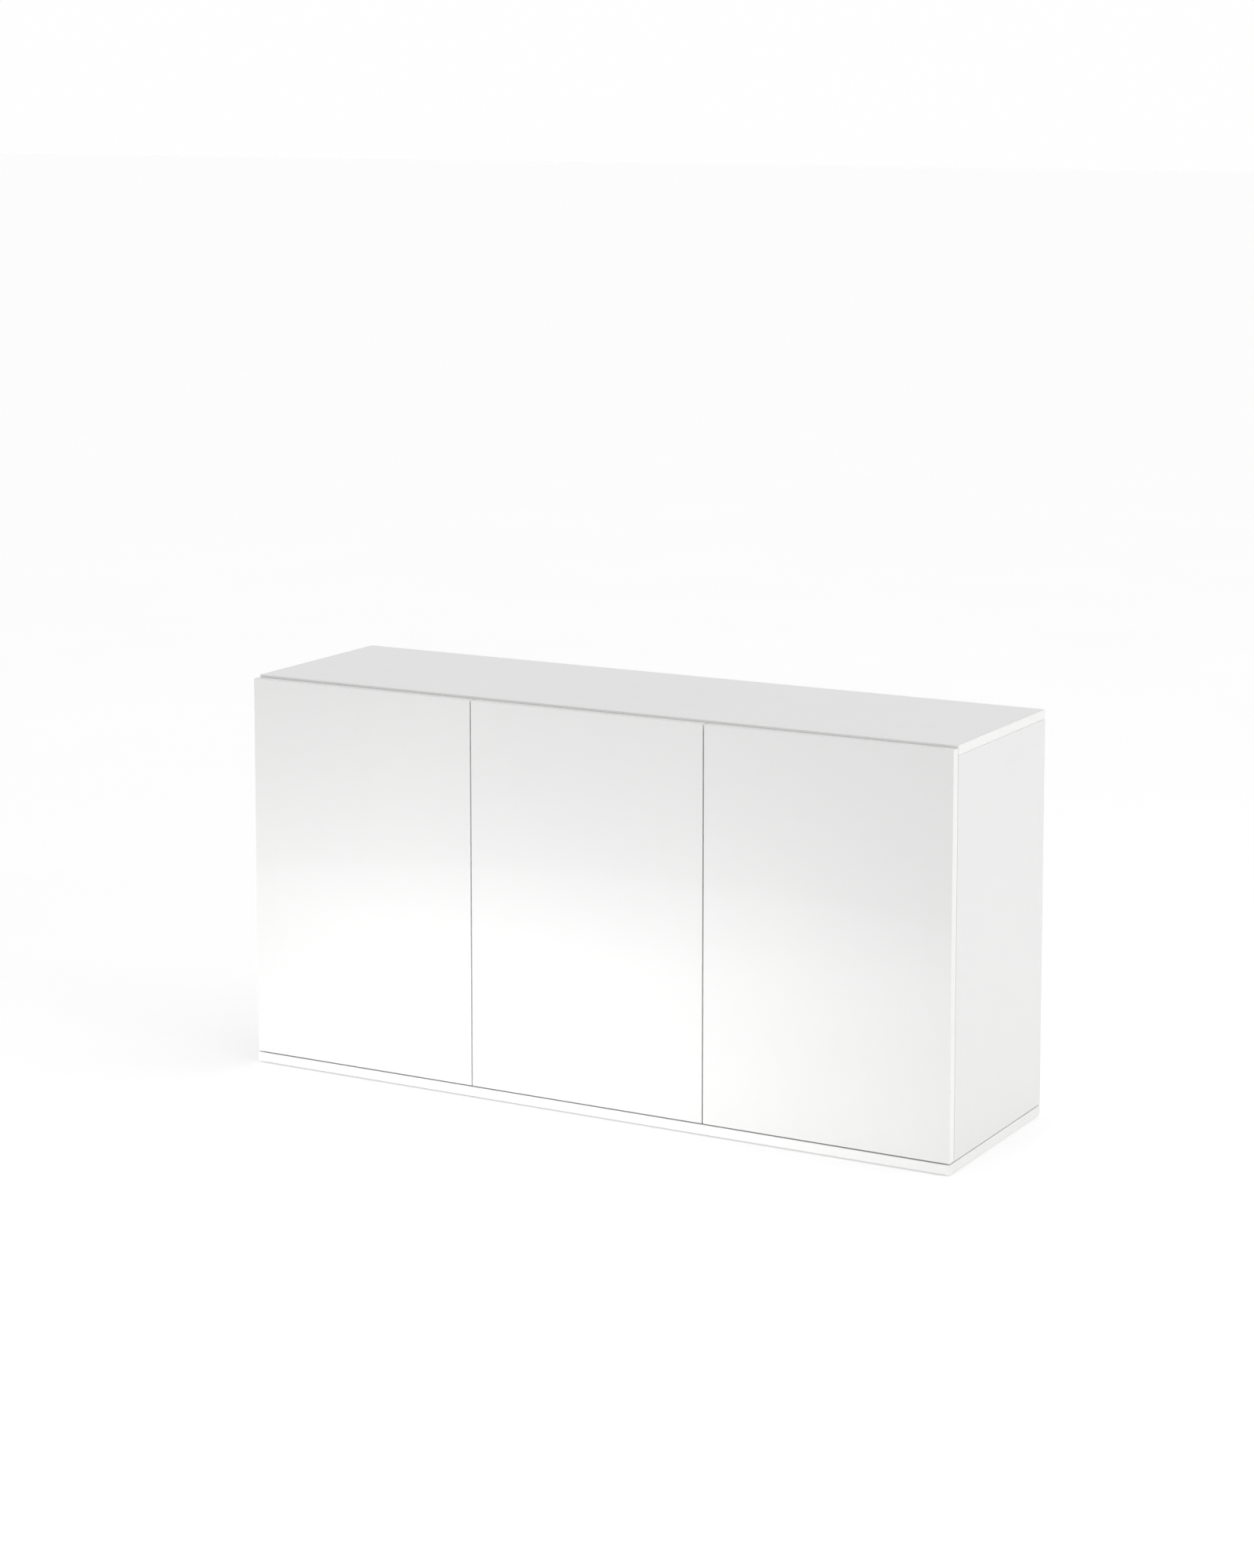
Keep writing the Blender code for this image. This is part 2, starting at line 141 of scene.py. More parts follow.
# Studio: the surround's brightness by the upward part of a direction, its brightness to the camera, the floor
SKY_BANDS = ((0.0, 0.84), (0.28, 0.84), (0.46, 0.28), (1.0, 1.32))
SKY_SEEN = 0.995
FLOOR_GLOW = 0.24
FLOOR_REACH = 60

# Studio lights; sizes and places in metres, powers in watts
SOFTBOX_PLACE = (4.0, -0.5, 2.0)
SOFTBOX_AIM = (0.7, 0, 0.4)
SOFTBOX_SIZE = 3.0
SOFTBOX_POWER = 27
GLOW_PLACE = (-0.29, -0.94, 0.10)
GLOW_AIM = (-0.29, 0, -0.08)
GLOW_SIZE = (1.55, 0.15)
GLOW_POWER = 4.25
ARC_CENTRE = (-0.66, -0.10, 0.004)
ARC_AIM = (-0.66, -0.10, 1)
ARC_RADIANCE = 0.34
ARC_RADII = (1.12, 1.22, 1.36, 1.56, 1.86)


# ---------------------------------------------------------------- materials


class Shader:
    """A material with its Principled BSDF and short ways to add nodes to it."""

    def __init__(self, name):
        self.mat = bpy.data.materials.new(name)
        self.mat.use_nodes = True
        self.nodes = self.mat.node_tree.nodes
        self.links = self.mat.node_tree.links
        self.bsdf = self.nodes["Principled BSDF"]
        self.coords = self.nodes.new("ShaderNodeTexCoord").outputs["Object"]

    def set(self, **values):
        """Set the shader's own sockets, such as coat_weight for Coat Weight."""
        for key, value in values.items():
            self.bsdf.inputs[key.replace("_", " ").title().replace("Ior", "IOR")].default_value = value

    def stretched(self, scale):
        """The object's coordinates, scaled by axis."""
        mapping = self.nodes.new("ShaderNodeMapping")
        mapping.inputs["Scale"].default_value = scale
        self.links.new(self.coords, mapping.inputs["Vector"])
        return mapping.outputs["Vector"]

    def noise(self, scale, detail=3.0, roughness=0.5, vector=None):
        """A noise of so many waves to the metre."""
        node = self.nodes.new("ShaderNodeTexNoise")
        node.inputs["Scale"].default_value = scale
        node.inputs["Detail"].default_value = detail
        node.inputs["Roughness"].default_value = roughness
        self.links.new(vector or self.coords, node.inputs["Vector"])
        return node.outputs["Fac"]

    def ramp(self, value, low, high, start=0.3, end=0.7):
        """Map a value between start and end to a colour between two others."""
        node = self.nodes.new("ShaderNodeValToRGB")
        node.color_ramp.elements[0].position = start
        node.color_ramp.elements[0].color = (*low, 1)
        node.color_ramp.elements[1].position = end
        node.color_ramp.elements[1].color = (*high, 1)
        self.links.new(value, node.inputs["Fac"])
        return node.outputs["Color"]

    def range(self, value, low, high, start=0.3, end=0.7):
        """Map a value between start and end to one between low and high."""
        node = self.nodes.new("ShaderNodeMapRange")
        node.inputs["From Min"].default_value = start
        node.inputs["From Max"].default_value = end
        node.inputs["To Min"].default_value = low
        node.inputs["To Max"].default_value = high
        self.links.new(value, node.inputs["Value"])
        return node.outputs["Result"]

    def darken(self, colour, mask, tint):
        """Multiply a colour by a tint where the mask says."""
        node = self.nodes.new("ShaderNodeMix")
        node.data_type = "RGBA"
        node.blend_type = "MULTIPLY"
        self.links.new(mask, node.inputs["Factor"])
        self.links.new(colour, node.inputs["A"])
        node.inputs["B"].default_value = (*tint, 1)
        return node.outputs["Result"]

    def bump(self, height, distance, strength=1.0, before=None):
        """Relief so many metres deep, on top of the one before it."""
        node = self.nodes.new("ShaderNodeBump")
        node.inputs["Strength"].default_value = strength
        node.inputs["Distance"].default_value = distance
        self.links.new(height, node.inputs["Height"])
        if before:
            self.links.new(before, node.inputs["Normal"])
        return node.outputs["Normal"]

    def finish(self, colour, roughness, normal):
        """Link the three results to the shader and return the material."""
        for value, key in ((colour, "Base Color"), (roughness, "Roughness"), (normal, "Normal")):
            self.links.new(value, self.bsdf.inputs[key])
        return self.mat


def lacquer_material():
    """Glossy white lacquer: a faint wave and orange peel, and slightly uneven gloss from wiping."""
    s = Shader("lacquer_white")
    s.set(ior=1.5, coat_weight=0.8, coat_roughness=0.03)
    tone = s.ramp(s.noise(scale=2.1, detail=4), (0.743, 0.744, 0.741), (0.760, 0.760, 0.755))
    smudge = s.noise(scale=9.0, detail=6, roughness=0.62, vector=s.stretched((1.0, 1.0, 0.45)))
    wiped = s.range(smudge, 0.0, 0.22, start=0.55, end=0.80)
    colour = s.darken(tone, wiped, tint=(0.93, 0.93, 0.925))
    wave = s.bump(s.noise(scale=4.5, detail=1), distance=0.0009)
    peel = s.bump(s.noise(scale=620, detail=2), distance=0.00003, strength=0.5, before=wave)
    return s.finish(colour, s.range(smudge, 0.09, 0.17), peel)


def edge_band_material():
    """The plastic edge band of a board: a little brighter and duller than the lacquer."""
    s = Shader("edge_band_white")
    s.set(ior=1.48)
    colour = s.ramp(s.noise(scale=24), (0.836, 0.836, 0.829), (0.856, 0.856, 0.849))
    grain = s.bump(s.noise(scale=900, detail=2), distance=0.00001, strength=0.4)
    return s.finish(colour, s.range(s.noise(scale=60), 0.30, 0.40), grain)


def melamine_material():
    """White melamine inside the cabinet and on the shelves: satin with a fine pressed grain."""
    s = Shader("melamine_white")
    s.set(ior=1.48)
    tone = s.ramp(s.noise(scale=3.0, detail=4), (0.815, 0.815, 0.806), (0.85, 0.85, 0.842))
    grain = s.bump(s.noise(scale=700, roughness=0.6), distance=0.00006, strength=0.6)
    return s.finish(tone, s.range(s.noise(scale=18, detail=4), 0.34, 0.46), grain)


def back_board_material():
    """Thin painted fibreboard: satin white with a faint felted texture and a little dust."""
    s = Shader("back_board_white")
    s.set(ior=1.46)
    fibres = s.noise(scale=180, detail=5, roughness=0.7, vector=s.stretched((1.0, 1.0, 0.6)))
    tone = s.ramp(fibres, (0.765, 0.764, 0.75), (0.825, 0.825, 0.812), start=0.25, end=0.75)
    dust = s.range(s.noise(scale=5, detail=5, roughness=0.6), 0.0, 0.3, start=0.5, end=0.8)
    colour = s.darken(tone, dust, tint=(0.90, 0.895, 0.88))
    return s.finish(colour, s.range(fibres, 0.48, 0.62), s.bump(fibres, distance=0.0001, strength=0.6))


def hinge_steel_material():
    """Nickel plated stamped steel: rolling lines, tiny pits and uneven polish."""
    s = Shader("hinge_nickel")
    s.set(metallic=1.0)
    stain = s.noise(scale=75, detail=5, roughness=0.65)
    tone = s.ramp(stain, (0.50, 0.495, 0.475), (0.66, 0.655, 0.635))
    pits = s.bump(s.noise(scale=900, roughness=0.7), distance=0.00002, strength=0.5)
    lines = s.noise(scale=1400, detail=2, vector=s.stretched((1.0, 0.06, 1.0)))
    rolling = s.bump(lines, distance=0.000015, strength=0.5, before=pits)
    return s.finish(tone, s.range(stain, 0.28, 0.40), rolling)


def screw_steel_material():
    """Zinc plated screws, a little bluer and rougher than the hinge."""
    s = Shader("screw_zinc")
    s.set(metallic=1.0)
    tone = s.ramp(s.noise(scale=420, detail=4, roughness=0.6), (0.42, 0.43, 0.45), (0.62, 0.63, 0.65))
    grain = s.bump(s.noise(scale=2100, detail=2), distance=0.00002, strength=0.6)
    return s.finish(tone, s.range(s.noise(scale=300), 0.29, 0.46), grain)


def plastic_material(name, low, high, rough, grain_scale=900.0, grain_depth=0.00004):
    """Plastic with a spark-eroded or felted grain, mottled a little by flow and handling."""
    s = Shader(name)
    s.set(ior=1.47)
    flow = s.noise(scale=34, detail=5, roughness=0.6)
    scuff = s.noise(scale=210, detail=4, roughness=0.7)
    worn = s.range(scuff, 0.0, 0.25, start=0.55, end=0.8)
    colour = s.darken(s.ramp(flow, low, high), worn, tint=(0.88, 0.88, 0.88))
    grain = s.bump(s.noise(grain_scale, detail=2), grain_depth, strength=0.7)
    return s.finish(colour, s.range(scuff, rough - 0.06, rough + 0.08), grain)


def floor_material():
    """A pale studio floor with a barely visible mottle and a slight glow of its own."""
    s = Shader("studio_floor")
    s.set(emission_color=(1, 1, 1, 1), emission_strength=FLOOR_GLOW)
    tone = s.ramp(s.noise(scale=1.3, detail=4), (0.895, 0.895, 0.895), (0.905, 0.905, 0.905))
    grain = s.bump(s.noise(scale=40), distance=0.0002, strength=0.4)
    return s.finish(tone, s.range(s.noise(scale=3.0), 0.75, 0.88), grain)


LACQUER = lacquer_material()
EDGE_BAND = edge_band_material()
MELAMINE = melamine_material()
BACK_BOARD = back_board_material()
HINGE_STEEL = hinge_steel_material()
SCREW_STEEL = screw_steel_material()
LATCH_PLASTIC = plastic_material("latch_plastic_grey", (0.56, 0.57, 0.58), (0.64, 0.65, 0.66), rough=0.42)
PLUNGER_PLASTIC = plastic_material("plunger_plastic_grey", (0.36, 0.37, 0.38), (0.44, 0.45, 0.46), rough=0.38)
GROMMET_PLASTIC = plastic_material("grommet_plastic_grey", (0.50, 0.51, 0.51), (0.58, 0.585, 0.585),
                                   rough=0.48)
CAP_PLASTIC = plastic_material("cap_plastic_white", (0.78, 0.78, 0.77), (0.84, 0.84, 0.83), rough=0.40)
GLIDE_FELT = plastic_material("glide_felt_black", (0.05, 0.05, 0.05), (0.11, 0.11, 0.11), rough=0.75,
                              grain_scale=1500, grain_depth=0.0003)


# ---------------------------------------------------------------- mesh helpers


def new_object(name, data):
    """A new object with the given data, linked to the scene."""
    obj = bpy.data.objects.new(name, data)
    bpy.context.scene.collection.objects.link(obj)
    return obj


def finished_mesh(name, bm, materials=()):
    """Turn a bmesh into a mesh with its materials and shading."""
    bmesh.ops.recalc_face_normals(bm, faces=bm.faces)
    mesh = bpy.data.meshes.new(name)
    bm.to_mesh(mesh)
    bm.free()
    for mat in materials:
        mesh.materials.append(mat)
    shade(mesh)
    return mesh


def shade(mesh):
    """Shade curves smooth and broad faces flat, so that eased edges don't bend their reflections."""
    mesh.shade_smooth()
    mesh.set_sharp_from_angle(angle=radians(SMOOTH_ANGLE))
    for face in mesh.polygons:
        corners = [mesh.vertices[i].co for i in face.vertices]
        rim = sum((a - b).length for a, b in zip(corners, corners[1:] + corners[:1]))
        if 2 * face.area > FLAT_WIDTH * rim:
            for loop in face.loop_indices:
                mesh.edges[mesh.loops[loop].edge_index].use_edge_sharp = True


def add_piece(name, bm, materials, body):
    """Turn a bmesh into a named piece that rides on a body."""
    return place_copy(name, finished_mesh(name, bm, materials), Matrix(), body)


def place_copy(name, mesh, matrix, body):
    """A piece with a mesh that others may share, put in place by a matrix."""
    obj = new_object(name, mesh)
    obj.matrix_world = matrix
    bpy.context.view_layer.update()
    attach(obj, body)
    return obj


def cut(obj, tool_bm, operation="DIFFERENCE"):
    """Cut a bmesh out of an object, or join it on, and keep the result as the object's mesh."""
    tool = new_object(obj.name + ".tool", finished_mesh(obj.name + ".tool", tool_bm))
    modifier = obj.modifiers.new("cut", "BOOLEAN")
    modifier.operation = operation
    modifier.solver = "EXACT"
    modifier.object = tool
    bpy.context.view_layer.update()
    evaluated = obj.evaluated_get(bpy.context.evaluated_depsgraph_get())
    old_mesh = obj.data
    obj.data = bpy.data.meshes.new_from_object(evaluated)
    obj.modifiers.clear()
    bpy.data.meshes.remove(old_mesh)
    bpy.data.objects.remove(tool)
    shade(obj.data)


def box_mesh(low, high, radius=0.0, segments=2):
    """A box between two corners, with its edges rounded if a radius is given."""
    low = Vector(low)
    high = Vector(high)
    bm = bmesh.new()
    matrix = Matrix.Translation((low + high) / 2) @ Matrix.Diagonal((*(high - low), 1))
    bmesh.ops.create_cube(bm, size=1, matrix=matrix)
    if radius:
        bmesh.ops.bevel(bm, geom=bm.edges[:], offset=radius, segments=segments, profile=0.5, affect="EDGES")
    return bm


def add_cylinder(bm, centre, radius, length, axis, segments):
    """Add a capped cylinder along X or Y to a bmesh."""
    turn = Matrix.Rotation(pi / 2, 4, "Y" if axis == X else "X")
    bmesh.ops.create_cone(bm, cap_ends=True, segments=segments, radius1=radius, radius2=radius, depth=length,
                          matrix=Matrix.Translation(Vector(centre)) @ turn)


def lathe_mesh(profile, segments=32):
    """Turn an outline of (radius, height) points, which starts and ends at zero radius, about the Z axis."""
    bm = bmesh.new()
    rings = []
    for radius, height in profile:
        count = 1 if radius == 0 else segments
        angles = [2 * pi * i / count for i in range(count)]
        rings.append([bm.verts.new((radius * cos(a), radius * sin(a), height)) for a in angles])
    for lower, upper in zip(rings, rings[1:]):
        for i in range(segments):
            j = (i + 1) % segments
            corners = [ring[k % len(ring)] for ring, k in ((lower, i), (lower, j), (upper, j), (upper, i))]
            bm.faces.new(list(dict.fromkeys(corners)))
    return bm


def facing(point, direction, spin=0.0):
    """A matrix that puts a mesh's own +Z along a direction at a point."""
    turn = Vector(direction).to_track_quat("Z", "Y").to_matrix().to_4x4()
    return Matrix.Translation(Vector(point)) @ turn @ Matrix.Rotation(spin, 4, "Z")


def along_y(point):
    """A matrix that puts a mesh's own +Z along +Y at a point."""
    return Matrix.Translation(point) @ Matrix.Rotation(-pi / 2, 4, "X")


def node_box(name):
    """The lowest and highest corners of a CAD node at rest."""
    low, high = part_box(name)
    return Vector(low), Vector(high)


def face_x(node, direction):
    """The x of a node's face towards +X or -X."""
    low, high = node_box(node)
    return high.x if direction > 0 else low.x


# ---------------------------------------------------------------- boards and doors


def board_piece(node, body, face_mat, thin_axis, outer_side=0, inner_mat=None, lift=0.0):
    """A board with rounded edges and banded narrow faces; its inner face may have its own finish."""
    low, high = node_box(node)
    low.z += lift
    bm = box_mesh(low, high, BOARD_EDGE_R, segments=3)
    bm.normal_update()
    for face in bm.faces:
        along = face.normal[thin_axis]
        if abs(along) < STRAIGHT:
            face.material_index = 1
        elif inner_mat and along * outer_side < 0:
            face.material_index = 2
    mats = [face_mat, EDGE_BAND] + ([inner_mat] if inner_mat else [])
    piece = add_piece("visible_" + node, bm, mats, body)
    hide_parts(node)
    return piece


def pin_hole_places(node):
    """The (y, z) of each shelf pin hole in an upright."""
    low, high = node_box(node)
    shelf_low, _ = node_box("shelf_left")
    first = shelf_low.z - PIN_DROP - PIN_PITCH * (PIN_ROWS // 2)
    rows = [first + PIN_PITCH * i for i in range(PIN_ROWS)]
    return [(y, z) for y in (low.y + PIN_SETBACK, high.y - PIN_SETBACK) for z in rows]


def add_uprights():
    """Side panels and dividers, drilled for shelf pins on the faces towards the outer bays."""
    bay_sides = {"side_panel_left": 1, "divider_left": -1, "divider_right": 1, "side_panel_right": -1}
    for node, bay_side in bay_sides.items():
        if node.startswith("side"):
            piece = board_piece(node, "cabinet", LACQUER, X, -bay_side, MELAMINE, FOOT_SLOT)
        else:
            piece = board_piece(node, "cabinet", MELAMINE, X, lift=FOOT_SLOT)
        drill = bmesh.new()
        for y, z in pin_hole_places(node):
            centre = (face_x(node, bay_side), y, z)
            add_cylinder(drill, centre, PIN_HOLE_R, 2 * PIN_HOLE_DEPTH, X, segments=16)
        cut(piece, drill)


def add_door(door):
    """A slab, lacquered outside, with the hinge cups' bores in its back."""
    node = "door_" + door
    piece = board_piece(node, node, LACQUER, Y, outer_side=-1, inner_mat=MELAMINE)
    _, high = node_box(node)
    mouth_y = high.y + CUTTER_OVERRUN
    bores = bmesh.new()
    for level in LEVELS:
        cup_low, cup_high = node_box(f"hinge_cup_{door}_{level}")
        centre = (cup_low + cup_high) / 2
        floor_y = cup_low.y - BORE_FIT
        radius = (cup_high.x - cup_low.x) / 2 + BORE_FIT
        middle = (centre.x, (floor_y + mouth_y) / 2, centre.z)
        add_cylinder(bores, middle, radius, mouth_y - floor_y, Y, segments=48)
    cut(piece, bores)


def add_back_panels():
    """Thin back panels with a round cut-out for each grommet."""
    for bay in DOORS:
        node = "back_panel_" + bay
        low, high = node_box(node)
        panel = box_mesh(low, high, BACK_EDGE_R)
        piece = add_piece("visible_" + node, panel, [BACK_BOARD], "cabinet")
        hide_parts(node)
        holes = bmesh.new()
        for grommet in (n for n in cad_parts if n.startswith("grommet_" + bay)):
            grommet_low, grommet_high = node_box(grommet)
            middle = (grommet_low + grommet_high) / 2
            radius = (grommet_high.z - grommet_low.z) / 2 - GROMMET_LIP
            centre = (middle.x, (low.y + high.y) / 2, middle.z)
            add_cylinder(holes, centre, radius, BACK_CUTTER, Y, segments=48)
        cut(piece, holes)


def add_boards():
    """All boards of the carcass, the shelves, the back panels and the doors."""
    board_piece("bottom_panel", "cabinet", MELAMINE, Z)
    board_piece("top_panel", "cabinet", LACQUER, Z, outer_side=1, inner_mat=MELAMINE)
    board_piece("shelf_left", "cabinet", MELAMINE, Z)
    board_piece("shelf_right", "cabinet", MELAMINE, Z)
    add_uprights()
    add_back_panels()
    for door in DOORS:
        add_door(door)


# ---------------------------------------------------------------- fittings


def screw_mesh(name, radius, height):
    """A low domed screw head with a cross recess, its top towards +Z."""
    rim = ((0, -HEAD_SEAT), (radius, -HEAD_SEAT), (radius, height * HEAD_RIM))
    rise = [radians(angle) for angle in DOME_ANGLES]
    dome = [(radius * cos(a), height * (HEAD_RIM + (1 - HEAD_RIM) * sin(a))) for a in rise]
    outline = (*rim, *dome, (0, height))
    head = new_object(name, finished_mesh(name, lathe_mesh(outline, segments=24), [SCREW_STEEL]))
    half_width = radius * RECESS_WIDTH / 2
    reach = radius * RECESS_REACH
    for x, y in ((reach, half_width), (half_width, reach)):
        cut(head, box_mesh((-x, -y, height * HEAD_RIM), (x, y, height + CUTTER_OVERRUN)))
    mesh = head.data
    bpy.data.objects.remove(head)
    return mesh


def hinges():
    """Each concealed hinge's tag and door, and the way along X that its arm stands off its upright."""
    for door in DOORS:
        side = -1 if door == "right" else 1
        for level in LEVELS:
            yield f"{door}_{level}", door, side


def cover_x(door, side):
    """The x of an arm cover's two broad faces, the outer one last."""
    web_x = face_x("door_" + door, -side) + side * ARM_TOP
    return [web_x + side * x for x in COVER_X]


def add_hinge_covers():
    """A steel cover plate with eased edges over each arm."""
    for tag, door, side in hinges():
        low, high = node_box("hinge_arm_" + tag)
        middle_z = (low.z + high.z) / 2
        low_x, high_x = sorted(cover_x(door, side))
        low_corner = (low_x, low.y + COVER_START, middle_z - COVER_HALF_Z)
        high_corner = (high_x, high.y - COVER_END, middle_z + COVER_HALF_Z)
        cover = box_mesh(low_corner, high_corner, COVER_EDGE_R, segments=3)
        add_piece("arm_cover_" + tag, cover, [HINGE_STEEL], "cabinet")


def add_hinge_screws():
    """Screws in the cups' wings, in the mounting plates and in the arm covers."""
    wood_screw = screw_mesh("wood_screw_head", *WOOD_SCREW)
    set_screw = screw_mesh("set_screw_head", *SET_SCREW)
    count = 0
    for tag, door, side in hinges():
        cup_low, cup_high = node_box("hinge_cup_" + tag)
        arm_low, arm_high = node_box("hinge_arm_" + tag)
        cup_x = (cup_low.x + cup_high.x) / 2 + side * CUP_SCREW_IN
        plate_x = face_x("hinge_arm_" + tag, -side) + side * PLATE_SCREW_X
        middle_z = (arm_low.z + arm_high.z) / 2
        for end, sign in (("a", 1), ("b", -1)):
            count += 1
            spin = count * SCREW_TURN
            cup_z = (cup_high if sign > 0 else cup_low).z - sign * CUP_SCREW_FROM_END
            in_wing = (cup_x, cup_high.y + CUP_SCREW_LIFT, cup_z)
            in_plate = (plate_x, arm_low.y + PLATE_SCREW_Y, middle_z + sign * PLATE_SCREW_Z)
            in_cover = (cover_x(door, side)[-1], arm_high.y - ARM_SCREWS_IN[end], middle_z)
            inward = facing(in_wing, (0, 1, 0), spin)
            place_copy(f"cup_screw_{tag}_{end}", wood_screw, inward, "door_" + door)
            sideways = facing(in_plate, (side, 0, 0), spin)
            place_copy(f"plate_screw_{tag}_{end}", wood_screw, sideways, "cabinet")
            sideways = facing(in_cover, (side, 0, 0), spin)
            place_copy(f"arm_screw_{tag}_{end}", set_screw, sideways, "cabinet")


def add_shelf_pins():
    """Four steel pins under each shelf, plugged into the uprights' holes."""
    pin = finished_mesh("shelf_pin", lathe_mesh(PIN_PROFILE, segments=24), [SCREW_STEEL])
    bays = {"left": ("side_panel_left", "divider_left"), "right": ("divider_right", "side_panel_right")}
    for bay, uprights in bays.items():
        shelf_low, _ = node_box("shelf_" + bay)
        for upright, direction in zip(uprights, (1, -1)):
            low, high = node_box(upright)
            for place, y in (("front", low.y + PIN_SETBACK), ("rear", high.y - PIN_SETBACK)):
                point = (face_x(upright, direction), y, shelf_low.z - PIN_DROP)
                name = f"shelf_pin_{bay}_{upright}_{place}"
                place_copy(name, pin, facing(point, (direction, 0, 0)), "cabinet")


def add_cam_caps():
    """Round plastic caps over the cam locks near the ends of the uprights."""
    cap = finished_mesh("cam_cap", lathe_mesh(CAP_PROFILE), [CAP_PLASTIC])
    sides = {"side_panel_left": 1, "divider_left": 1, "divider_right": -1, "side_panel_right": -1}
    for node, direction in sides.items():
        low, high = node_box(node)
        for place, y in (("front", low.y + CAP_SETBACK), ("rear", high.y - CAP_SETBACK)):
            for end, z in (("low", low.z + CAP_FROM_END), ("high", high.z - CAP_FROM_END)):
                matrix = facing((face_x(node, direction), y, z), (direction, 0, 0))
                place_copy(f"cam_cap_{node}_{place}_{end}", cap, matrix, "cabinet")


def latch_housing(node, plunger_r):
    """A rounded housing with two fixing ears and a collar, bored for its plunger."""
    low, high = node_box(node)
    middle = (low + high) / 2
    body = box_mesh(low, high, LATCH_EDGE_R, segments=4)
    housing = add_piece("visible_" + node, body, [LATCH_PLASTIC], "cabinet")
    ears_low = (low.x - EAR_REACH, low.y + EAR_Y[0], high.z - EAR_T)
    ears_high = (high.x + EAR_REACH, low.y + EAR_Y[1], high.z)
    cut(housing, box_mesh(ears_low, ears_high, EAR_EDGE_R, segments=3), "UNION")
    collar = lathe_mesh(COLLAR_PROFILE)
    collar.transform(facing((middle.x, low.y, middle.z), (0, -1, 0)))
    cut(housing, collar, "UNION")
    bore = bmesh.new()
    bore_centre = (middle.x, low.y + (PLUNGER_BORE_DEPTH - CUTTER_OVERRUN) / 2, middle.z)
    bore_length = PLUNGER_BORE_DEPTH + CUTTER_OVERRUN
    add_cylinder(bore, bore_centre, plunger_r + BORE_FIT, bore_length, Y, segments=32)
    cut(housing, bore)
    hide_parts(node)


def add_plunger(door):
    """A turned plunger with a rounded, wider head."""
    node = "latch_plunger_" + door
    low, high = node_box(node)
    middle = (low + high) / 2
    radius = (high.x - low.x) / 2
    length = high.y - low.y
    stem = radius * 0.86
    profile = (
        (0, 0), (radius * 0.78, 0), (radius, 0.0007), (radius, PLUNGER_HEAD), (stem, PLUNGER_HEAD + 0.0006),
        (stem, length - 0.0005), (radius * 0.8, length), (0, length),
    )
    bm = lathe_mesh(profile)
    bm.transform(along_y((middle.x, low.y, middle.z)))
    piece = add_piece("visible_" + node, bm, [PLUNGER_PLASTIC], "plunger_" + door)
    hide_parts(node)


def add_strike(door, x, z):
    """The thin steel disc on the door's back that the plunger presses."""
    _, high = node_box("door_" + door)
    bm = lathe_mesh(STRIKE_PROFILE, segments=40)
    bm.transform(along_y((x, high.y, z)))
    add_piece("strike_disc_" + door, bm, [SCREW_STEEL], "door_" + door)


def add_latches():
    """Push-to-open latches: the housing, its screws, the plunger and the strike disc."""
    screw = screw_mesh("latch_screw_head", *LATCH_SCREW)
    for door in DOORS:
        node = "latch_housing_" + door
        plunger_low, plunger_high = node_box("latch_plunger_" + door)
        latch_housing(node, (plunger_high.x - plunger_low.x) / 2)
        low, high = node_box(node)
        screw_y = low.y + (EAR_Y[0] + EAR_Y[1]) / 2
        for end, x in (("a", low.x - EAR_SCREW_OUT), ("b", high.x + EAR_SCREW_OUT)):
            matrix = facing((x, screw_y, high.z - EAR_T), (0, 0, -1), EAR_SCREW_SPINS[end])
            place_copy(f"latch_screw_{door}_{end}", screw, matrix, "cabinet")
        add_plunger(door)
        add_strike(door, (low.x + high.x) / 2, (low.z + high.z) / 2)


def add_back_screws():
    """Small screws along the upright edges of the back panels."""
    screw = screw_mesh("back_screw_head", *BACK_SCREW)
    for bay in DOORS:
        low, high = node_box("back_panel_" + bay)
        pitch = (high.z - low.z - 2 * BACK_SCREW_FROM_END) / (BACK_SCREW_ROWS - 1)
        for side, x in (("left", low.x + BACK_SCREW_IN), ("right", high.x - BACK_SCREW_IN)):
            for row in range(BACK_SCREW_ROWS):
                z = low.z + BACK_SCREW_FROM_END + pitch * row
                matrix = facing((x, high.y, z), (0, 1, 0), spin=BACK_SCREW_TURN * row + x)
                place_copy(f"back_screw_{bay}_{side}_{row + 1}", screw, matrix, "cabinet")


def dress_cad_nodes():
    """Give the CAD nodes that stay in view their finished materials."""
    finishes = {"hinge": HINGE_STEEL, "grommet": GROMMET_PLASTIC, "glide": GLIDE_FELT}
    for name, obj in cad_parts.items():
        kind = name.split("_")[0]
        if kind in finishes:
            obj.data.materials.clear()
            obj.data.materials.append(finishes[kind])


# ---------------------------------------------------------------- studio


def add_area_light(name, place, aim, power, size, size_y=None, rays="diffuse"):
    """An area light that only one kind of ray can see: a disc, or a strip if it has a second size."""
    light = bpy.data.lights.new(name, "AREA")
    light.energy = power
    light.size = size
    light.shape = "RECTANGLE" if size_y else "DISK"
    if size_y:
        light.size_y = size_y
    obj = new_object(name, light)
    obj.location = place
    obj.rotation_euler = (Vector(aim) - Vector(place)).to_track_quat("-Z", "Y").to_euler()
    obj.visible_camera = False
    obj.visible_diffuse = rays == "diffuse"
    obj.visible_glossy = rays == "glossy"
    return obj


def add_floor_arc(number, radius):
    """A round glow on the floor that only shows as a curved edge in the gloss of the doors."""
    power = ARC_RADIANCE * pi * pi * radius ** 2
    return add_area_light(f"floor_arc_{number}", ARC_CENTRE, ARC_AIM, power, 2 * radius, rays="glossy")


